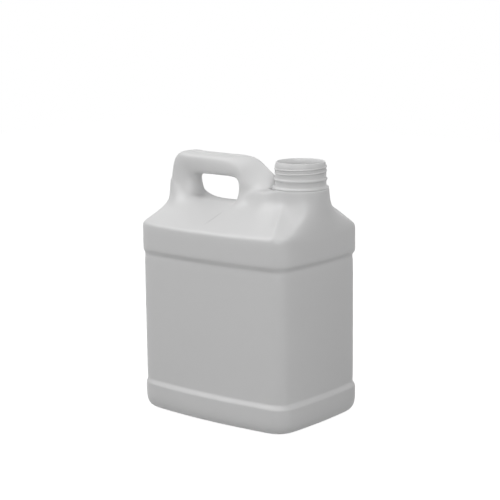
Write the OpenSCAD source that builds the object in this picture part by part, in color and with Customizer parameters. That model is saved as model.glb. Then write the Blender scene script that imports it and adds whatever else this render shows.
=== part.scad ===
// Rectangular handled jug with an open threaded neck, blown as one hollow piece.
// The neck end points along +X, the jug stands on z = 0 and is centred on the Z axis.

/* [Body] */
// Length over the bowed end faces
body_l = 229; // [190:1:290]
// Width over the bowed wide faces
body_w = 167; // [140:1:210]
// Radius of the upright corners
corner_r = 16; // [10:0.5:28]
// Outward bow of each end face at its middle
end_bow = 4.5; // [0:0.5:8]
// Outward bow of each wide face at its middle
side_bow = 8; // [0:0.5:12]
// Radius of the edge round the bottom
bottom_r = 18; // [8:0.5:24]
// Width of the flat ring that the jug stands on
stand_w = 10; // [5:0.5:18]
// Height of the hollow in the middle of the bottom
push_up = 4; // [1:0.5:8]
// Thickness of the blown skin
wall = 1.4; // [0.8:0.1:2]

/* [Label panel] */
// Height of the base band, up to the panel's lower step
base_band_z = 33; // [26:0.5:50]
// Height at which the panel's upper step ends in the shoulder band
upper_band_z = 198; // [150:1:205]
// Depth of the panel below the bands
panel_depth = 2.9; // [0.5:0.1:5]
// Height of each step between panel and band
step_h = 5; // [3:0.5:10]

/* [Shoulder] */
// Height at which the upright walls end
shoulder_z = 224; // [215:1:228]
// Radius of the edge between the walls and the shoulder
shoulder_r = 10; // [5:0.5:14]
// Height of the ridge under the handle
ridge_z = 257; // [252:0.5:262]
// Radius over the top of the ridge
ridge_r = 30; // [10:1:40]
// Distance from the rear face to the end of the ridge
ridge_setback = 20; // [14:1:30]
// Radius of the hollow blend from the shoulder up to the neck
bell_r = 30; // [12:1:36]
// Radius of the hollow blend from the shoulder up to the rear leg
rear_blend_r = 40; // [12:1:44]
// Height at which that blend runs out into the rear leg
rear_blend_z = 282; // [270:1:284]

/* [Neck] */
// Distance from the neck's axis to the end face
neck_setback = 35.5; // [35.5:0.5:44]
// Height of the neck, from the ledge at its foot to its lip
neck_h = 32; // [26:0.5:48]
// Inside diameter of the neck
bore_d = 54.6; // [44:0.2:56]
// Outside diameter of the neck between its threads
neck_d = 59.8; // [58:0.2:64]
// Outside diameter at the top of the lip
lip_d = 57.4; // [55.4:0.2:59.6]
// Height of the tapered lip
lip_h = 6; // [3:0.5:9]
// Diameter of the round stand under the neck
bell_d = 67; // [66:0.2:70]
// Height of the ledge round the foot of the neck
ledge_z = 279; // [275:0.5:282]
// Radius of the ledge's edge
ledge_r = 3; // [1.5:0.5:5]
// Diameter of the bead at the foot of the neck
bead_d = 67.4; // [67:0.2:71]
// Height of the bead above the ledge
bead_h = 3.2; // [1.5:0.1:5]

/* [Handle] */
// Height of the top of the grip
grip_z = 312; // [308:0.5:335]
// Depth of the grip from top to underside
grip_h = 26.5; // [20:0.5:30]
// Width of the grip
grip_w = 33; // [22:0.5:38]
// Thickness of the rear leg under the grip
rear_leg_l = 30; // [22:0.5:36]
// Distance from the rear face to the back of the rear leg under the grip
rear_leg_setback = 2.5; // [1:0.5:10]
// Distance from the rear face to the back of the rear leg at its foot
rear_foot_setback = 0.4; // [0.4:0.1:4]
// Length of the finger hole
hole_l = 78; // [68:1:90]
// Radius of the finger hole's upper corners
hole_r = 9; // [4:0.5:12]
// Radius of the grip's upper rear corner
grip_rear_r = 28; // [14:1:32]
// Radius of the grip's upper front corner
grip_front_r = 14; // [8:1:20]
// Slope at the upper end of the front leg, in degrees
front_slope = 32; // [26:1:38]
// Slope at the lower end of the front leg, in degrees
front_end_slope = 62; // [50:1:70]
// Radius of the front leg's long outer curve
front_leg_r = 85; // [70:1:95]
// Length of the grip's flat top
grip_top_l = 87; // [78:1:100]
// Radius of the blends from the sides of the legs into the shoulder
foot_r = 14; // [6:0.5:16]
// Radius of the finger hole's lower rear corner
hole_rear_r = 18; // [8:0.5:22]
// Radius of the finger hole's lower front corner
hole_front_r = 8; // [4:0.5:10]

/* [Hidden] */
// Overrun of cuts
over = 1;
// Facets of the turned neck
$fn = 96;
// Segments of half an end face, of a corner and of a wide face
end_n = 3;
corner_n = 5;
side_n = 12;
// Segments of an arc and of a slope in the blown skin, and points round the handle
arc_n = 3;
line_n = 3;
grip_n = 20;
// Roundness of the grip's section, where 2 is an ellipse
grip_power = 2.8;
// Smallest corner radius of a level drawn inside another, as a share of the corner radius
least_corner_share = 0.4;
// Width of the bottom's slope up to its hollow, as a share of the standing ring
push_slope_share = 0.8;
// Largest radius over the ridge, as a share of the slope's run
ridge_limit_share = 0.5;
// Half width left open along the ridge before it is closed, as a share of the ridge radius
ridge_close_share = 0.1;
// Where the ledge gives way to the ridge, as shares of the way from the hole to the neck
ledge_fade_shares = [0.05, 0.45];
// Where the ledge starts to widen towards the neck, as a share of the same way
ledge_widen_share = 0.1;
// How far the rear leg's stand fades out under the finger hole, as a share of the hole's rear corner
rear_fade_share = 0.6;
// How far below the ridge the legs' side blends start, as a share of the grip's width
side_blend_share = 0.32;
// Levels of the legs, as shares of the way from the shoulder's edge up to the grip
leg_shares = [-0.1, 0.12, 0.2, 0.28, 0.4, 0.5, 0.58, 0.66, 0.78, 0.9];

neck_x = body_l / 2 - neck_setback;
lip_z = ledge_z + neck_h;
ridge_x = ridge_setback - body_l / 2;
rear_x = rear_leg_setback - body_l / 2;
rear_foot_x = rear_foot_setback - body_l / 2;
hole_x0 = rear_x + rear_leg_l;
hole_x1 = hole_x0 + hole_l;
hole_z = grip_z - grip_h;
half_n = 2 * end_n + 2 * corner_n + side_n;
front_n = end_n + corner_n;

function mix(a, b, f) = a + (b - a) * f;
function eased(f) = let (g = min(max(f, 0), 1)) g * g * (3 - 2 * g);
function polar(r, a) = [r * cos(a), r * sin(a)];
// Half of a closed line, from the front round to the rear, and the same mirrored
function whole(half) = concat(half, [for (i = [half_n - 1 : -1 : 1]) [half[i].x, -half[i].y]]);

// The body's outline in plan, drawn in from the outside by an inset
function bowed(p, a, b) = [
    p.x * (1 + end_bow / a * (1 - pow(p.y / b, 2))),
    p.y * (1 + side_bow / b * (1 - pow(p.x / a, 2)))
];
function outline(inset) =
    let (a = body_l / 2 - end_bow - inset)
    let (b = body_w / 2 - side_bow - inset)
    let (r = max(corner_r - inset, corner_r * least_corner_share))
    let (half = concat(
        [for (i = [0 : end_n - 1]) [a, (b - r) * i / end_n]],
        [for (i = [0 : corner_n - 1]) [a - r, b - r] + polar(r, 90 * i / corner_n)],
        [for (i = [0 : side_n - 1]) [mix(a - r, r - a, i / side_n), b]],
        [for (i = [0 : corner_n - 1]) [r - a, b - r] + polar(r, 90 + 90 * i / corner_n)],
        [for (i = [0 : end_n]) [-a, (b - r) * (1 - i / end_n)]]
    ))
    [for (p = whole(half)) bowed(p, a, b)];
function level(inset, z) = [for (p = outline(inset)) [p.x, p.y, z]];

// Levels of the body from the bottom's hollow up to the shoulder, for the outside or the inside face
function body_levels(skin) =
    let (r = bottom_r - skin)
    let (rim = bottom_r + stand_w)
    concat(
        [level(rim + stand_w * push_slope_share, push_up + skin), level(rim, skin)],
        [for (i = [0 : 2 * arc_n])
            let (a = 45 * i / arc_n)
            level(skin + r * (1 - sin(a)), skin + r * (1 - cos(a)))],
        [for (i = [0 : arc_n])
            level(skin + panel_depth * eased(i / arc_n), base_band_z + step_h * i / arc_n)],
        [for (i = [arc_n : -1 : 0])
            level(skin + panel_depth * eased(i / arc_n), upper_band_z - step_h * i / arc_n)]
    );

// A rail in the upright plane: a round edge, a straight slope and a second arc.
// The second arc is hollow and ends upright, or is round and ends level.
function slope_rail(d, h, r1, r2, hollow) =
    let (run = d - r1 - (hollow ? r2 : 0))
    let (rise = h - (hollow ? 0 : r2))
    let (q = hollow ? r1 + r2 : r1 - r2)
    let (l = sqrt(max(run * run + rise * rise - q * q, 0)))
    let (t = atan2(rise, run) - atan2(q, l))
    concat(
        [for (i = [0 : arc_n])
            let (a = mix(180, 90 + t, i / arc_n))
            [r1, 0] + polar(r1, a)],
        [for (i = [1 : line_n - 1])
            [r1, 0] + polar(r1, 90 + t) + polar(l * i / line_n, t)],
        [for (i = [0 : arc_n])
            let (a = hollow ? mix(t - 90, 0, i / arc_n) : mix(90 + t, 90, i / arc_n))
            (hollow ? [d - r2, h] : [d, h - r2]) + polar(r2, a)]
    );

// The back of the rear leg leans in from the shoulder up to the grip
function leg_back_x(z) =
    let (f = (z - shoulder_z) / (grip_z - grip_rear_r - shoulder_z))
    mix(rear_foot_x, rear_x, min(max(f, 0), 1));
// Where each rail ends: on the ridge, and on the edge of the ledge round the neck
function ridge_f(i) = min(max((i - front_n) / side_n, 0), 1);
function ridge_at(i) = [mix(neck_x, ridge_x, ridge_f(i)), 0];
function way_to_neck(x) = (x - hole_x1) / (neck_x - hole_x1);
function is_bell(i) =
    let (f = way_to_neck(ridge_at(i).x))
    eased((f - ledge_fade_shares[0]) / (ledge_fade_shares[1] - ledge_fade_shares[0]));
function is_rear(i) =
    let (end_x = hole_x0 + hole_rear_r * rear_fade_share)
    eased((end_x - ridge_at(i).x) / (end_x - ridge_x));
function ledge_at(i, skin) =
    let (r = bell_d / 2 - skin)
    let (f = eased((way_to_neck(ridge_at(i).x) - ledge_widen_share) / (1 - ledge_widen_share)))
    i <= front_n ? [neck_x, 0] + polar(r, 90 * i / front_n)
                 : [ridge_at(i).x, mix(grip_w / 2, bell_d / 2, f) - skin];
function rear_at(i, skin) =
    let (r = grip_w / 2 - skin)
    let (turn = 90 * max(i - front_n - side_n, 0) / front_n)
    [min(ridge_at(i).x, leg_back_x(rear_blend_z) + grip_w / 2), 0] + polar(r, 90 + turn);
function close_at(i) =
    let (r = ridge_r * ridge_close_share)
    let (turn = i <= front_n ? 90 * i / front_n : 90 + 90 * max(i - front_n - side_n, 0) / front_n)
    ridge_at(i) + polar(r, turn);

function rail_points(from, to, z, rail, d) =
    [for (p = rail)
        let (flat = mix(from, to, p.x / d))
        [flat.x, flat.y, z + p.y]];
function stand_rail(i, from, to, top_z, r, skin) =
    let (d = norm(to - from))
    let (h = top_z - ledge_r - shoulder_z)
    let (in = (ridge_at(i) - to) / norm(ridge_at(i) - to))
    concat(
        rail_points(from, to, shoulder_z, slope_rail(d, h, shoulder_r - skin, r + skin, true), d),
        [for (a = [45, 90])
            let (flat = to + in * (ledge_r - skin / 2) * (1 - cos(a)))
            [flat.x, flat.y, top_z - ledge_r + (ledge_r - skin) * sin(a)]],
        [let (flat = close_at(i)) [flat.x, flat.y, top_z - skin]]
    );
function roof_rail(i, from, skin) =
    let (to = close_at(i))
    let (d = norm(to - from))
    let (h = ridge_z - skin - shoulder_z)
    let (low = rail_points(from, to, shoulder_z,
        slope_rail(d, h, shoulder_r - skin, min(ridge_r, d * ridge_limit_share) - skin, false), d))
    let (top = low[len(low) - 1])
    concat(low, [top, top, top]);
function shoulder_rail(i, skin) =
    let (from = outline(skin)[i])
    let (bell = stand_rail(i, from, ledge_at(i, skin), ledge_z, bell_r, skin))
    let (rear = stand_rail(i, from, rear_at(i, skin), rear_blend_z, rear_blend_r, skin))
    let (roof = roof_rail(i, from, skin))
    [for (j = [0 : len(bell) - 1])
        mix(mix(roof[j], bell[j], is_bell(i)), rear[j], is_rear(i))];
function shoulder_levels(skin) =
    let (rails = [for (i = [0 : half_n]) shoulder_rail(i, skin)])
    [for (j = [0 : len(rails[0]) - 1])
        let (half = [for (rail = rails) rail[j]])
        concat(half, [for (i = [half_n - 1 : -1 : 1]) [half[i].x, -half[i].y, half[i].z]])];

// A closed skin through a stack of levels, zipped shut across its first and last level.
// The facets of the second half of each level mirror those of the first.
module lofted(levels) {
    n = len(levels[0]);
    last = (len(levels) - 1) * n;
    points = [for (l = levels) each l];
    sides = [for (j = [0 : len(levels) - 2]) for (i = [0 : n - 1])
        let (a = j * n + i)
        let (b = j * n + (i + 1) % n)
        each i < n / 2 ? [[a, a + n, b], [b, a + n, b + n]] : [[a, a + n, b + n], [a, b + n, b]]];
    bottom = [for (i = [0 : n / 2 - 1])
        let (a = i)
        let (b = i + 1)
        let (c = (n - i) % n)
        let (d = n - i - 1)
        each concat(a == c ? [] : [[a, b, c]], b == d ? [] : [[b, d, c]])];
    top = [for (f = bottom) [last + f[2], last + f[1], last + f[0]]];
    polyhedron(points, concat(sides, bottom, top));
}

module body_form(skin) {
    lofted(concat(body_levels(skin), shoulder_levels(skin)));
}

// The handle is drawn between its outer line and the line of the finger hole.
// Each rib is [point on the hole, point outside, half width there, half width outside].
leg_top_z = hole_z - hole_r;
front_top_x = rear_x + grip_rear_r + grip_top_l;
front_top = [front_top_x, grip_z - grip_front_r] + polar(grip_front_r, 90 - front_slope);
front_mid = front_top - polar(front_leg_r, 90 - front_slope);
front_end = front_mid + polar(front_leg_r, 90 - front_end_slope);
inner_blend_z = ridge_z - grip_w * side_blend_share;
// How far a hollow blend of radius r that starts at z0 stands out at height z
function blend_out(z, z0, r) =
    let (up = min(max(z - z0, 0), r))
    r - sqrt(r * r - pow(r - up, 2));
function leg_z(share) = mix(shoulder_z, leg_top_z, share);
function rear_rib(z) =
    [[hole_x0 + blend_out(z, ridge_z, hole_rear_r), z],
     [leg_back_x(z), z],
     grip_w / 2 + blend_out(z, inner_blend_z, foot_r),
     grip_w / 2];
function front_rib(z) =
    [[hole_x1 - blend_out(z, ridge_z, hole_front_r), z],
     [front_end.x, z],
     grip_w / 2 + blend_out(z, inner_blend_z, foot_r),
     grip_w / 2];
function bent_rib(hole_at, a, outside) =
    [hole_at + polar(hole_r, a), outside, grip_w / 2, grip_w / 2];
hole_rear = [hole_x0 + hole_r, hole_z - hole_r];
hole_front = [hole_x1 - hole_r, hole_z - hole_r];
handle_ribs = concat(
    [for (share = leg_shares) rear_rib(leg_z(share))],
    [for (a = [180 : -22.5 : 90])
        bent_rib(hole_rear, a, [rear_x + grip_rear_r, grip_z - grip_rear_r] + polar(grip_rear_r, a))],
    [for (f = [0, 0.5, 1])
        bent_rib(hole_front, 90 - 45 * f,
            [front_top_x, grip_z - grip_front_r] + polar(grip_front_r, 90 - front_slope * f))],
    [for (f = [1 / 3, 2 / 3, 1])
        bent_rib(hole_front, 45 - 45 * f,
            front_mid + polar(front_leg_r, 90 - mix(front_slope, front_end_slope, f)))],
    [for (i = [len(leg_shares) - 1 : -1 : 1]) front_rib(leg_z(leg_shares[i]))]
);
function power(v) = sign(v) * pow(abs(v), 2 / grip_power);
function rib_level(rib, skin) =
    let (mid = (rib[0] + rib[1]) / 2)
    let (out = (rib[1] - rib[0]) / norm(rib[1] - rib[0]))
    let (e = norm(rib[1] - rib[0]) / 2 - skin)
    [for (i = [0 : grip_n - 1])
        let (a = -360 * i / grip_n)
        let (u = power(cos(a)))
        let (flat = mid + out * e * u)
        let (w = mix(rib[2], rib[3], (u + 1) / 2) - skin)
        [flat.x, w * power(sin(a)), flat.y]];

module handle_form(skin) {
    lofted([for (rib = handle_ribs) rib_level(rib, skin)]);
}

module blown_form(skin) {
    body_form(skin);
    handle_form(skin);
}

// The neck is turned about its own axis, with its bead closing the top of the blown skin
module neck() {
    foot = ledge_z - 2 * wall;
    bead_r = bead_h / 2;
    translate([neck_x, 0, 0])
        rotate_extrude()
            difference() {
                union() {
                    translate([0, foot])
                        square([neck_d / 2, lip_z - lip_h - foot]);
                    translate([0, foot])
                        square([bead_d / 2 - bead_r, ledge_z + bead_h - foot]);
                    translate([0, foot])
                        square([bead_d / 2, ledge_z + bead_r - foot]);
                    translate([bead_d / 2 - bead_r, ledge_z + bead_r])
                        circle(bead_r);
                    polygon([
                        [0, lip_z - lip_h],
                        [neck_d / 2, lip_z - lip_h],
                        [lip_d / 2, lip_z],
                        [0, lip_z]
                    ]);
                }
                translate([0, foot - over])
                    square([bore_d / 2, lip_z - foot + 2 * over]);
            }
}

// One closed skin held to the stated length and width, opened under the neck
module jug() {
    color("whitesmoke") {
        resize([body_l, body_w, 0])
            difference() {
                blown_form(0);
                blown_form(wall);
                translate([neck_x, 0, ledge_z - ledge_r - wall])
                    cylinder(d = (bore_d + neck_d) / 2, h = ledge_r + wall + over);
            }
        neck();
    }
}

jug();
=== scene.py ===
import math

import bmesh
import bpy
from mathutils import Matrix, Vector


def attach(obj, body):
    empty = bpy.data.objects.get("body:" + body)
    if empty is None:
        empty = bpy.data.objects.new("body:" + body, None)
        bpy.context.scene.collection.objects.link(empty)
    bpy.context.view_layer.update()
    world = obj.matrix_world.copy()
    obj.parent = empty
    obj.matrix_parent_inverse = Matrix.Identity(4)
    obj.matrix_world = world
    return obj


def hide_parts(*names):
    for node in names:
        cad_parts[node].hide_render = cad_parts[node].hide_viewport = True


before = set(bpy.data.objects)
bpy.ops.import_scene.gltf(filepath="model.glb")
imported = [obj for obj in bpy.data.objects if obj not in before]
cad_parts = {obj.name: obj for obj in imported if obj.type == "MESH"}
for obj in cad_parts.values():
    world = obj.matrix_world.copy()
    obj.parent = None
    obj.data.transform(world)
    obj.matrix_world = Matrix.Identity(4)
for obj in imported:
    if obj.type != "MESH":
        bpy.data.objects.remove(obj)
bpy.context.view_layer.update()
bpy.context.scene.view_settings.view_transform = "Standard"


# The jug: body, sloped shoulder and hollow grip are one skin of white polyethylene,
# blown from a hot tube inside a two-part mould, so every form runs softly into the next.
# It is put together as a block model, pulled to its place point by point, and then rounded.
mm = 0.001
skin_t = 1.4 * mm
rounding_levels = 2

# The block model's corners stand at whole columns, rows and levels, far away from the finished
# points. Rows run from -edge to edge. These are the columns of the handle's parts and the neck,
# and how many levels each part has.
columns, rows, far = 12, 4, 10
edge = rows // 2
rear_leg_end, grip_end, front_leg_start, front_leg_end, neck_start = 2, 4, 5, 7, 8
rear_levels, grip_levels, front_levels, rim_levels = 5, 2, 4, 3

# Height and inset of each ring of the body, from the hollow of the bottom up to the shoulder,
# and whether it lies on the bands (0) or on the recessed panel (1) and its groove (over 1)
body_rings = [
    (4, 42, 0), (-0.14, 32, 0), (-0.14, 14, 0), (3.1, 3.2, 0), (13, 0, 0), (27, 0, 0),
    (31.6, 0, 0), (33.4, 0, 0), (37.6, 0, 1.2), (39.6, 0, 1.15), (46, 0, 1),
    (184, 0, 1), (189, 0, 1.1), (193.9, 0, 1.6), (197.6, 0, 0.2), (200.4, 0, 0),
    (206, 0, 0), (222, 0, 0)]
shoulder_rings = 5
cap = len(body_rings) + shoulder_rings - 1
top = cap + rear_levels
grip_low = top - grip_levels
half_l, half_w = 114.5, 83.5


def block_spot(v):
    """The column, row and level of a corner of the block model."""
    return round(v.co.x - far), round(v.co.y), round(v.co.z - far)


def pick(test, faces=True):
    """Selects the corners of the block model that pass the test, and the faces between them."""
    mesh = bmesh.from_edit_mesh(bpy.context.object.data)
    for v in mesh.verts:
        v.select = test(*block_spot(v))
    mesh.select_flush_mode()
    if faces:
        mesh.select_flush(True)
    bmesh.update_edit_mesh(bpy.context.object.data)


def raise_faces(step, times):
    """Extrudes the selected faces again and again."""
    for _ in range(times):
        bpy.ops.mesh.extrude_region_move(TRANSFORM_OT_translate={"value": step})


bpy.ops.object.select_all(action="DESELECT")
bpy.ops.mesh.primitive_grid_add(x_subdivisions=columns, y_subdivisions=rows, size=1)
jug = bpy.context.object
jug.name = "jug_skin"
bpy.ops.object.mode_set(mode="EDIT")
bpy.ops.mesh.select_mode(type="VERT")
bpy.ops.mesh.select_all(action="SELECT")
bpy.ops.transform.resize(value=(columns, rows, 1))
bpy.ops.transform.translate(value=(far + columns / 2, 0, far))
raise_faces((0, 0, 1), cap)

# The rear leg, the grip that runs forward from it, and the front leg that meets it
pick(lambda c, r, n: c <= rear_leg_end and n == cap)
raise_faces((0, 0, 1), rear_levels)
pick(lambda c, r, n: c == rear_leg_end and n >= grip_low)
raise_faces((1, 0, 0), grip_end - rear_leg_end)
bpy.ops.mesh.delete(type="FACE")
pick(lambda c, r, n: front_leg_start <= c <= front_leg_end and n == cap)
raise_faces((0, 0, 1), front_levels)
bpy.ops.mesh.delete(type="FACE")


def on_rim(c, r, low, high):
    """Whether a corner lies on the outside of a field of columns."""
    return abs(r) == edge or c in (low, high)


def at_grip_ends(c, r, n):
    """Whether a corner lies on one of the two open ends where the grip meets the front leg."""
    of_grip = c == grip_end and n >= grip_low and (abs(r) == edge or n in (grip_low, top))
    in_leg = front_leg_start <= c <= front_leg_end and n == cap + front_levels
    return of_grip or (in_leg and on_rim(c, r, front_leg_start, front_leg_end))


bpy.ops.mesh.select_mode(type="EDGE")
pick(at_grip_ends)
bpy.ops.mesh.bridge_edge_loops()

# The hole under the neck, with the edge of the ledge turned in round it
bpy.ops.mesh.select_mode(type="VERT")
pick(lambda c, r, n: c >= neck_start and n == cap)
bpy.ops.mesh.delete(type="FACE")
bpy.ops.mesh.select_mode(type="EDGE")
pick(lambda c, r, n: c >= neck_start and n == cap and on_rim(c, r, neck_start, columns))
for _ in range(rim_levels):
    bpy.ops.mesh.extrude_edges_move(TRANSFORM_OT_translate={"value": (0, 0, 1)})
bpy.ops.mesh.select_mode(type="VERT")

# Half of the bands' outline in plan, from the middle of the rear round to the middle of the front,
# and half of the recessed panel's outline
outline = [
    (-115.15, 0), (-113.1, 50), (-108.8, 74.9), (-87, 78.5), (-61, 81), (-37, 82.7),
    (-15, 83.4), (7, 83.52), (30, 82.95), (54, 81.6), (78, 79.75), (91, 78.6),
    (98, 77.4), (107.6, 71), (112.7, 60), (113.75, 31), (114.85, 0)]
panel = [
    (-112.2, 0), (-110.4, 53), (-107.3, 73), (-90, 75.7), (-61, 78.1), (-37, 79.8),
    (-15, 80.5), (7, 80.62), (30, 80.05), (54, 78.7), (78, 76.8), (90, 75.6),
    (98.5, 74.2), (105.9, 68.6), (109, 60.5), (110.85, 31), (111.95, 0)]
neck_x, stand_r, stand_step = 79, 34.4, 22.5


def round_neck(radius, angle):
    """A point on a circle round the neck's axis, in plan."""
    return neck_x + radius * math.cos(angle), radius * math.sin(angle)


# The line that the shoulder rises to: round the rear leg, along the ridge and round the neck's stand
crest = [
    (-114.4, 0), (-114, 10), (-111.6, 17), (-98, 21), (-78, 19.5), (-57, 13),
    (-31, 13), (-5, 23), (16, 21.5), (34, 26), (49.5, 33)]
crest += [round_neck(stand_r, math.radians(stand_step * step)) for step in range(5, -1, -1)]
# How far each point belongs to the rear leg's stand and not to the ridge, and the first point that
# belongs to the neck's stand
rear_share = [1, 1, 1, 0.6, 0.1] + [0] * 12
first_at_neck = 8
# Height at which the upright wall of the neck's stand meets the slope, by point, and how far the
# slope below it is hollow
wall_foot = {
    8: (257, 2.5), 9: (264, 4), 10: (264, 4), 11: (263, 3), 12: (264, -2.5),
    13: (257, 3), 14: (260.5, 1.8)}
# Height at which the front leg's flank runs out into the slope
leg_foot = {7: 253.5, 8: 268}
shoulder_z, shoulder_r, ridge_z = 224, 10, 255.2
# Height where the slope starts over the wall, and how far the rounded edge runs up it
slope_foot, edge_run, edge_share = 231, 7, 0.3
# Top of each stand, the radius of the hollow at its foot, and how high the slope goes
rear_stand = (277, 40, 262)
neck_stand = (276, 30, 263)
hollow_run, hollow_share, wall_hollow_share = 20, 0.6, 0.66
ridge_shares = (0.1, 0.42, 0.74)


def mix(a, b, f):
    """The point at share f of the way from a to b."""
    return tuple(p + (q - p) * f for p, q in zip(a, b))


def stand_rail(start, end, stand_top, hollow_r, limit):
    """Corners of a rail that leaves the wall over a round edge and ends upright in a hollow."""
    d = math.dist(start, end)
    run, rise, q = d - shoulder_r - hollow_r, stand_top - shoulder_z, shoulder_r + hollow_r
    slope = math.atan2(rise, run) - math.atan2(q, math.sqrt(run * run + rise * rise - q * q))
    low = shoulder_z + shoulder_r * math.tan((math.pi / 2 - slope) / 2)
    high = low + d * math.tan(slope)
    length = math.hypot(d, high - low)
    share = min(1, (limit - low) / (high - low))
    first = (*start, low)
    third = mix(first, (*end, high), share)
    second = mix(first, third, min(edge_run / length, edge_share) / share)
    before = mix(first, third, max(1 - hollow_run / length / share, hollow_share))
    return [first, second, before, third, (*end, stand_top)]


def ridge_rail(start, end):
    """Corners of a rail that ends level on the ridge."""
    first, last = (*start, slope_foot), (*end, ridge_z)
    return [first] + [mix(first, last, f) for f in ridge_shares] + [last]


def wall_rail(start, end, foot, sag):
    """Corners of a rail that climbs a slightly hollow slope to the foot of an upright wall."""
    first, third = (*start, slope_foot), (*end, foot)
    x, y, z = mix(first, third, wall_hollow_share)
    before = (x, y, z - sag)
    second = mix(first, before, edge_run / math.dist(start, (x, y)))
    return [first, second, before, third, (*end, neck_stand[0])]


rails = []
for k, (start, end) in enumerate(zip(outline, crest)):
    rail = ridge_rail(start, end)
    if rear_share[k]:
        risen = stand_rail(start, end, *rear_stand)
        rail = [mix(a, b, rear_share[k]) for a, b in zip(rail, risen)]
    if k in wall_foot:
        rail = wall_rail(start, end, *wall_foot[k])
    elif k >= first_at_neck:
        rail = stand_rail(start, end, *neck_stand)
    if k in leg_foot:
        rail[-1] = (*end, leg_foot[k])
    rails.append(rail)


def along(c, r):
    """The number of a rim corner along half the outline."""
    if abs(r) == edge:
        return edge + c
    return abs(r) if c == 0 else len(outline) - 1 - abs(r)


places = {}
for c in range(columns + 1):
    for r in range(-edge, edge + 1):
        side = 1 if r >= 0 else -1
        rim = on_rim(c, r, 0, columns)
        for n, (z, inset, recess) in enumerate(body_rings):
            if rim or n == 0:
                k = along(c, r if rim else edge)
                x, y = mix(outline[k], panel[k], recess)
                y = y if rim else y * abs(r) / edge
                places[c, r, n] = (x * (1 - inset / half_l), side * y * (1 - inset / half_w), z)
        if rim:
            for n, (x, y, z) in enumerate(rails[along(c, r)]):
                places[c, r, len(body_rings) + n] = (x, side * y, z)

# The middle of the cap: the feet of the legs, the ridge between them and the gap before the neck.
# The corners of the ledge beside that gap stand a little higher.
cap_line = {
    1: (-98, 268), 2: (-77, 256.5), 3: (-57, 255.3), 4: (-31, 255.3), 5: (-6, 256),
    6: (17, 268), 7: (42.5, 276)}
gap_z, gap_ledge_z = 275.5, 277
ledge_corners = {front_leg_end: 276.5, neck_start: 277}
for r in (-1, 0, 1):
    for c, (x, z) in cap_line.items():
        places[c, r, cap] = (x, r * crest[edge + c][1] / edge, z)
    places[neck_start, r, cap] = (*round_neck(stand_r, math.radians(180 - stand_step * r)), gap_z)
for c, z in ledge_corners.items():
    for r in (-edge, edge):
        places[c, r, cap] = (*places[c, r, cap][:2], z)

# Radius and height of the ledge's edge and of the rim of the hole under the neck. The ledge lies
# lower in the gap behind the neck.
ledge_rings = [(33.9, 280.3), (30, 280.3), (28.4, 277)]
for n, (radius, z) in enumerate(ledge_rings):
    for c in range(neck_start, columns + 1):
        for r in range(-edge, edge + 1):
            if on_rim(c, r, neck_start, columns):
                x, y = places[c, r, cap][:2]
                ledge_z = min(z, gap_ledge_z) if c == neck_start else z
                spread = round_neck(radius, math.atan2(y, x - neck_x))
                places[c, r, cap + 1 + n] = (*spread, ledge_z)

# Sections of the handle: its outer and inner point in side view and its half width. How far out
# from its middle its points stand, as (across, out): crown and corner outside, waist, and corner
# and crown at the finger hole
grip_half_w = 17.2
grip_round = ((0.48, 0.96), (0.89, 0.74), (1, 0), (0.93, 0.9), (0.5, 1))
rear_round = ((0.48, 0.96), (0.89, 0.74), (1, -0.1), (0.66, 0.72), (0.3, 1))
foot_round = ((0.45, 0.97), (0.9, 0.68), (0.92, 0), (0.97, 0.88), (0.5, 1))
leg_round = ((0.17, 0.95), (0.6, 0.52), (1, 0), (0.97, 0.88), (0.5, 1))


def section(spots, outer, inner, half, shape, middle=None):
    """Places the rows of a section's outer side, its middle and its inner side."""
    middle = middle or mix(outer, inner, 0.5)
    crown, corner, waist, hole_corner, hole_crown = shape
    for r in range(-edge, edge + 1):
        side = math.copysign(half, r)
        outside = ((0, 1), crown, corner)[abs(r)]
        inside = ((0, 1), hole_crown, hole_corner)[abs(r)]
        shares = (outside, waist, inside)
        for (c, n), end, (across, out) in zip(spots, (outer, outer, inner), shares):
            x, z = mix(middle, end, out)
            places[c, r, n] = (x, side * across, z)


rear_sections = [
    ((-113.2, 279), (-73.5, 261.5), 18.8, rear_round),
    ((-112.6, 284), (-77, 273.5), 17.9, rear_round),
    ((-111.5, 291), (-78, 285.2), 17.5, rear_round),
    ((-108, 303), (-79, 299), grip_half_w, grip_round),
    ((-98, 312.2), (-72, 312), grip_half_w, grip_round)]
for n, values in enumerate(rear_sections):
    section([(c, cap + 1 + n) for c in range(rear_leg_end + 1)], *values)
# The rear leg's top, level with the grip's
crown_z, corner_z = 311.6, 308.6
for side in (-1, 1):
    for c in (1, rear_leg_end):
        x = places[c, 0, top][0]
        places[c, side, top] = (x, side * grip_half_w * grip_round[0][0], crown_z)
        places[c, edge * side, top] = (x, side * grip_half_w * grip_round[1][0], corner_z)
grip_tops = {3: (-56, 312.1), 4: (-24, 311.7)}
grip_under_z = 286.2
for c, (x, z) in grip_tops.items():
    section([(c, top), (c, top - 1), (c, grip_low)], (x, z), (x, grip_under_z), grip_half_w, grip_round)
front_sections = [
    ((48, 278), (-6, 259.5), 20, foot_round, (16, 275)),
    ((45.5, 288.6), (-2, 270), 19.5, leg_round, (10, 281.5)),
    ((28, 300.2), (-2.5, 278.5), 17.8, leg_round, (4.5, 289)),
    ((12, 313.2), (-7, 285.8), grip_half_w, leg_round, (0.5, 299))]
for n, values in enumerate(front_sections):
    section([(c, cap + 1 + n) for c in range(front_leg_end, front_leg_start - 1, -1)], *values)

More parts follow.
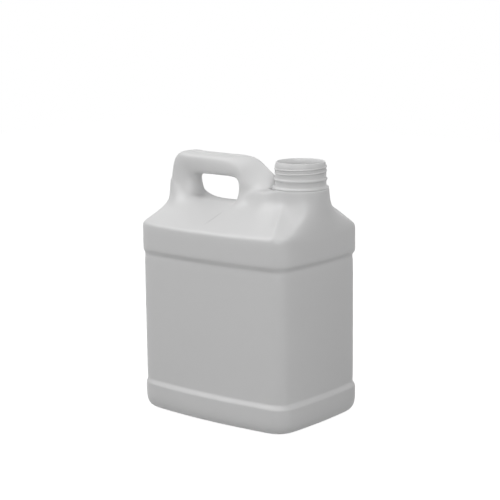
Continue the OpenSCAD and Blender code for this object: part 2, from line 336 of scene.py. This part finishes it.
# Lines that stay fairly crisp: the fold between the slope and the neck's flare, the rim of the
# ledge, and the crest and flanks of the front leg
fold_column, ledge_rim_end, flank_column = 10, 9, 6
fold_crease, rim_crease, crest_crease, flank_crease = 0.4, 0.75, 0.5, 0.35
bpy.ops.mesh.select_mode(type="EDGE")
pick(lambda c, r, n: c == fold_column and abs(r) == edge and len(body_rings) <= n < cap)
bpy.ops.transform.edge_crease(value=fold_crease)
pick(lambda c, r, n: front_leg_end <= c <= ledge_rim_end and abs(r) == edge and n == cap, faces=False)
bpy.ops.transform.edge_crease(value=rim_crease)
pick(lambda c, r, n: c == front_leg_end and r == 0 and n > cap)
bpy.ops.transform.edge_crease(value=crest_crease)
pick(lambda c, r, n: c == flank_column and abs(r) == edge and n > cap)
bpy.ops.transform.edge_crease(value=flank_crease)
bpy.ops.mesh.select_mode(type="VERT")

# Each corner of the block model is pulled to its place
corners = {v.index: block_spot(v) for v in bmesh.from_edit_mesh(jug.data).verts}
for index, (c, r, n) in corners.items():
    bpy.ops.mesh.select_all(action="DESELECT")
    mesh = bmesh.from_edit_mesh(jug.data)
    mesh.verts.ensure_lookup_table()
    mesh.verts[index].select = True
    mesh.select_flush_mode()
    bpy.ops.transform.translate(value=Vector(places[c, r, n]) * mm - Vector((far + c, r, far + n)))
bpy.ops.mesh.select_all(action="SELECT")
bpy.ops.mesh.normals_make_consistent(inside=False)
bpy.ops.object.mode_set(mode="OBJECT")


def finish_piece(piece):
    """Applies the modifiers of a piece and shades it smooth."""
    bpy.ops.object.select_all(action="DESELECT")
    piece.select_set(True)
    bpy.context.view_layer.objects.active = piece
    bpy.ops.object.transform_apply()
    for modifier in list(piece.modifiers):
        bpy.ops.object.modifier_apply(modifier=modifier.name)
    bpy.ops.object.shade_smooth()


rounding = jug.modifiers.new("rounding", "SUBSURF")
rounding.levels = rounding.render_levels = rounding_levels
wall = jug.modifiers.new("wall", "SOLIDIFY")
wall.thickness = skin_t
wall.offset = -1
finish_piece(jug)


class Wire:
    """A socket of a node tree, whose arithmetic adds Math nodes."""

    def __init__(self, tree, socket=None):
        self.tree, self.socket = tree, socket

    def node(self, kind, settings=None, sockets=None, out=0):
        """Adds a node: its settings first, then the values or wires of its sockets."""
        made = self.tree.nodes.new(kind)
        for name, value in (settings or {}).items():
            setattr(made, name, value)
        for name, value in (sockets or {}).items():
            if isinstance(value, Wire):
                self.tree.links.new(value.socket, made.inputs[name])
            else:
                made.inputs[name].default_value = value
        return Wire(self.tree, made.outputs[out] if made.outputs else None)

    def maths(self, operation, *values):
        return self.node("ShaderNodeMath", {"operation": operation}, dict(enumerate(values)))

    def __add__(self, other):
        return self.maths("ADD", self, other)

    def __mul__(self, other):
        return self.maths("MULTIPLY", self, other)

    __radd__, __rmul__ = __add__, __mul__


# White polyethylene with a satin skin from the blasted mould, slightly uneven where it
# shrank, and thin enough to let some light through.
# The second grey is the painted shade of a crease on the slope
jug_white, crease_shade_grey = (0.73, 0.73, 0.73, 1), (0.64, 0.64, 0.64, 1)
plastic = bpy.data.materials.new("white polyethylene")
plastic.use_nodes = True
shader = plastic.node_tree.nodes["Principled BSDF"]
shader.inputs["Base Color"].default_value = jug_white
shader.inputs["IOR"].default_value = 1.5
shader.inputs["Subsurface Weight"].default_value = 0.45
shader.inputs["Subsurface Radius"].default_value = (1, 1, 1)
shader.inputs["Subsurface Scale"].default_value = 1.5 * mm
skin = Wire(plastic.node_tree)
where = skin.node("ShaderNodeTexCoord", out="Object")
x_way, y_way, z_way = [skin.node("ShaderNodeSeparateXYZ", sockets={0: where}, out=axis) for axis in "XYZ"]

# Painted light: an emission glow in the bore stands in for the light that comes through the neck's wall and
# makes the bore paler
glow_r, glow_z, glow_level = 28 * mm, 276 * mm, 0.09
off_axis = x_way + -neck_x * mm
in_bore = skin.maths("LESS_THAN", off_axis * off_axis + y_way * y_way, glow_r ** 2)
painted_bore_glow = in_bore * skin.maths("GREATER_THAN", z_way, glow_z) * glow_level
plastic.node_tree.links.new(painted_bore_glow.socket, shader.inputs["Emission Color"])
shader.inputs["Emission Strength"].default_value = 1

# Painted shade: the shade of a faint straight crease on the near slope is painted as a darker grey line.
# It runs down the slope below the front of the finger hole and fades out at both ends.
crease_x, crease_lean, crease_half_w = -4.4 * mm, 0.1, 2.4 * mm
crease_mid_y, crease_full, crease_gone = -52 * mm, 5 * mm, 19 * mm


def fade(way, full, gone):
    """1 within the distance full, running out to 0 at the distance gone."""
    return skin.node("ShaderNodeMapRange", {"interpolation_type": "SMOOTHSTEP"}, {
        "Value": skin.maths("ABSOLUTE", way), "From Min": full, "From Max": gone, "To Min": 1, "To Max": 0})


beside = fade(x_way + y_way * -crease_lean + -crease_x, 0, crease_half_w)
lengthwise = fade(y_way + -crease_mid_y, crease_full, crease_gone)
painted_crease_shade = beside * lengthwise * skin.maths("GREATER_THAN", z_way, slope_foot * mm)
# Painted shade: the white is mixed towards the darker grey along the crease
tint = skin.node("ShaderNodeMix", {"data_type": "RGBA"}, {
    "Factor": painted_crease_shade, "A": jug_white, "B": crease_shade_grey}, out="Result")
plastic.node_tree.links.new(tint.socket, shader.inputs["Base Color"])

# The blasted mould's fine grain, and the wide waves of the shrunk skin
grain_share, dull, dull_change = 0.015, 0.33, 0.1
grain = skin.node("ShaderNodeTexNoise", sockets={"Vector": where, "Scale": 1400, "Detail": 1})
waves = skin.node("ShaderNodeTexNoise", sockets={"Vector": where, "Scale": 22, "Detail": 2})
uneven = skin.node("ShaderNodeBump", sockets={
    "Height": grain * grain_share + waves, "Strength": 0.25, "Distance": 0.6 * mm})
plastic.node_tree.links.new(uneven.socket, shader.inputs["Normal"])
plastic.node_tree.links.new((waves * dull_change + dull).socket, shader.inputs["Roughness"])
jug.data.materials.append(plastic)
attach(jug, "root")
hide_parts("jug")


# The neck is the one part of the skin that is shaped to size, by a blow pin against the mould:
# a straight wall with a tapered lip, a rounded ring under the thread and a bead on the ledge.
# It is drawn up ring by ring, from the bead over the lip and down the bore to where it began.
neck_sides = 96
neck_rings = [
    (28.2, 276.2), (32.2, 276.2), (32.5, 279.3), (32.8, 279.9), (33.1, 280.5), (33, 281.2),
    (32.4, 281.8), (31.2, 282.1), (30.2, 282.6), (29.9, 284), (29.9, 287.8), (30.2, 288.6),
    (30.9, 289.4), (31.3, 290.5), (31.2, 291.2), (30.4, 292), (29.9, 292.7), (29.9, 295),
    (29.9, 306), (29.6, 307.1), (28.75, 310.4), (28.4, 310.9), (27.7, 310.9), (27.3, 310.4),
    (27.3, 306), (27.3, 276), (28.2, 276.2)]
first_r, first_z = neck_rings[0]
bpy.ops.object.select_all(action="DESELECT")
bpy.ops.mesh.primitive_circle_add(
    vertices=neck_sides, radius=first_r * mm, location=(neck_x * mm, 0, first_z * mm))
neck = bpy.context.object
neck.name = "neck"
bpy.ops.object.transform_apply()
bpy.ops.object.mode_set(mode="EDIT")
bpy.ops.mesh.select_mode(type="EDGE")
bpy.ops.mesh.select_all(action="SELECT")
for (r0, z0), (r1, z1) in zip(neck_rings, neck_rings[1:]):
    bpy.ops.mesh.extrude_edges_move(TRANSFORM_OT_translate={"value": (0, 0, (z1 - z0) * mm)})
    bpy.ops.transform.resize(
        value=(r1 / r0, r1 / r0, 1), center_override=(neck_x * mm, 0, z1 * mm))
bpy.ops.mesh.select_all(action="SELECT")
bpy.ops.mesh.remove_doubles(threshold=0.01 * mm)
bpy.ops.mesh.normals_make_consistent(inside=False)
bpy.ops.object.mode_set(mode="OBJECT")
finish_piece(neck)
neck.data.materials.append(plastic)
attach(neck, "root")
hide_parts("jug")


# The thread is moulded with the neck: a low rounded ridge that climbs to the right in
# nearly two turns. Its lower turn runs out slowly into the wall, its upper end more quickly.
thread_pitch, thread_turns, thread_start, thread_top = 5.08, 1.84, math.radians(97.4), 305.8
thread_r, thread_high, thread_wide = 29.8, 1.7, 1.6
thread_sides, thread_runs, run_steps = 16, 2, 100
upper_fade, lower_fade, end_reach, end_sink = 30 * mm, 60 * mm, 2 * mm, 0.95
start_x, start_y = thread_r * math.cos(thread_start), thread_r * math.sin(thread_start)
bpy.ops.object.select_all(action="DESELECT")
bpy.ops.mesh.primitive_circle_add(
    vertices=thread_sides, radius=mm, location=(start_x * mm, start_y * mm, thread_top * mm),
    rotation=(math.pi / 2, 0, thread_start), scale=(thread_high, thread_wide, 1))
thread = bpy.context.object
thread.name = "thread"
climb = thread.modifiers.new("climb", "SCREW")
climb.angle = -2 * math.pi * thread_turns / thread_runs
climb.iterations = thread_runs
climb.screw_offset = -thread_pitch * thread_turns / thread_runs * mm
climb.steps = climb.render_steps = run_steps
climb.use_merge_vertices = False
finish_piece(thread)
bpy.ops.transform.translate(value=(neck_x * mm, 0, 0))
bpy.ops.object.transform_apply()
bpy.ops.object.mode_set(mode="EDIT")
bpy.ops.mesh.select_mode(type="VERT")
bpy.ops.mesh.select_all(action="SELECT")
bpy.ops.mesh.fill_holes(sides=thread_sides)
for turned, run_out in ((0, upper_fade), (thread_turns, lower_fade)):
    x, y = round_neck(thread_r, thread_start - 2 * math.pi * turned)
    end = Vector((x, y, thread_top - thread_pitch * turned)) * mm
    mesh = bmesh.from_edit_mesh(thread.data)
    for v in mesh.verts:
        v.select = (v.co - end).length < end_reach
    mesh.select_flush_mode()
    bpy.ops.transform.resize(
        value=(end_sink, end_sink, 1), center_override=(neck_x * mm, 0, 0),
        use_proportional_edit=True, proportional_size=run_out, use_proportional_connected=True)
bpy.ops.mesh.select_all(action="SELECT")
bpy.ops.mesh.normals_make_consistent(inside=False)
bpy.ops.object.mode_set(mode="OBJECT")
thread.data.materials.append(plastic)
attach(thread, "root")
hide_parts("jug")


# The stage: a plain floor under soft studio light. The floor and the space behind it show
# white; the floor keeps the jug's shadow and throws a moderate light back up.
floor_size, floor_lift = 5, 0.94
bounce_grey, shadow_grey = (0.42, 0.42, 0.42, 1), (0.35, 0.35, 0.35, 1)
bpy.ops.object.select_all(action="DESELECT")
bpy.ops.mesh.primitive_plane_add(size=floor_size, location=(0, 0, 0))
floor = bpy.context.object
floor.name = "floor"


def shown(sheet):
    """1 for the rays that show the background: the camera's, and those of gloss and clear pieces."""
    kinds = [sheet.node("ShaderNodeLightPath", out=name)
             for name in ("Is Camera Ray", "Is Glossy Ray", "Is Transmission Ray")]
    return sheet.node("ShaderNodeClamp", sockets={"Value": kinds[0] + kinds[1] + kinds[2]})


white = bpy.data.materials.new("white floor")
white.use_nodes = True
white.node_tree.nodes.clear()
sheet = Wire(white.node_tree)
bounce = sheet.node("ShaderNodeBsdfDiffuse", sockets={"Color": bounce_grey})
shadowed = sheet.node("ShaderNodeBsdfDiffuse", sockets={"Color": shadow_grey})
lift = sheet.node("ShaderNodeEmission", sockets={"Strength": floor_lift})
bright = sheet.node("ShaderNodeAddShader", sockets={0: shadowed, 1: lift})
look = sheet.node("ShaderNodeMixShader", sockets={0: shown(sheet), 1: bounce, 2: bright})
sheet.node("ShaderNodeOutputMaterial", sockets={"Surface": look})
floor.data.materials.append(white)

room_light = 0.22
world = bpy.data.worlds.new("studio")
bpy.context.scene.world = world
world.use_nodes = True
world.node_tree.nodes.clear()
room = Wire(world.node_tree)
space = room.node("ShaderNodeBackground", sockets={
    "Color": (1, 1, 1, 1), "Strength": shown(room) * (1 - room_light) + room_light})
room.node("ShaderNodeOutputWorld", sockets={"Surface": space})

lamp_size, lamp_aim = 1.3, Vector((0, 0, 0.15))


def soft_box(name, place, power):
    """A round soft lamp that is aimed at the middle of the jug."""
    lamp = bpy.data.lights.new(name, "AREA")
    lamp.shape = "DISK"
    lamp.size = lamp_size
    lamp.energy = power
    holder = bpy.data.objects.new(name, lamp)
    bpy.context.scene.collection.objects.link(holder)
    holder.location = place
    holder.rotation_euler = (lamp_aim - Vector(place)).to_track_quat("-Z", "Y").to_euler()


soft_box("left light", (-0.9, -0.7, 1.5), 12.3)
soft_box("front light", (1.2, -1.45, 0.9), 11.6)
soft_box("right light", (0.9, 0, 1.75), 6.5)

view = bpy.data.cameras.new("camera")
view.sensor_width = 36
view.lens = 112.27
camera = bpy.data.objects.new("camera", view)
bpy.context.scene.collection.objects.link(camera)
camera.location = (1.1663, -1.4221, 0.5489)
camera.rotation_euler = [math.radians(a) for a in (79.178, 0.646, 39.182)]
bpy.context.scene.camera = camera
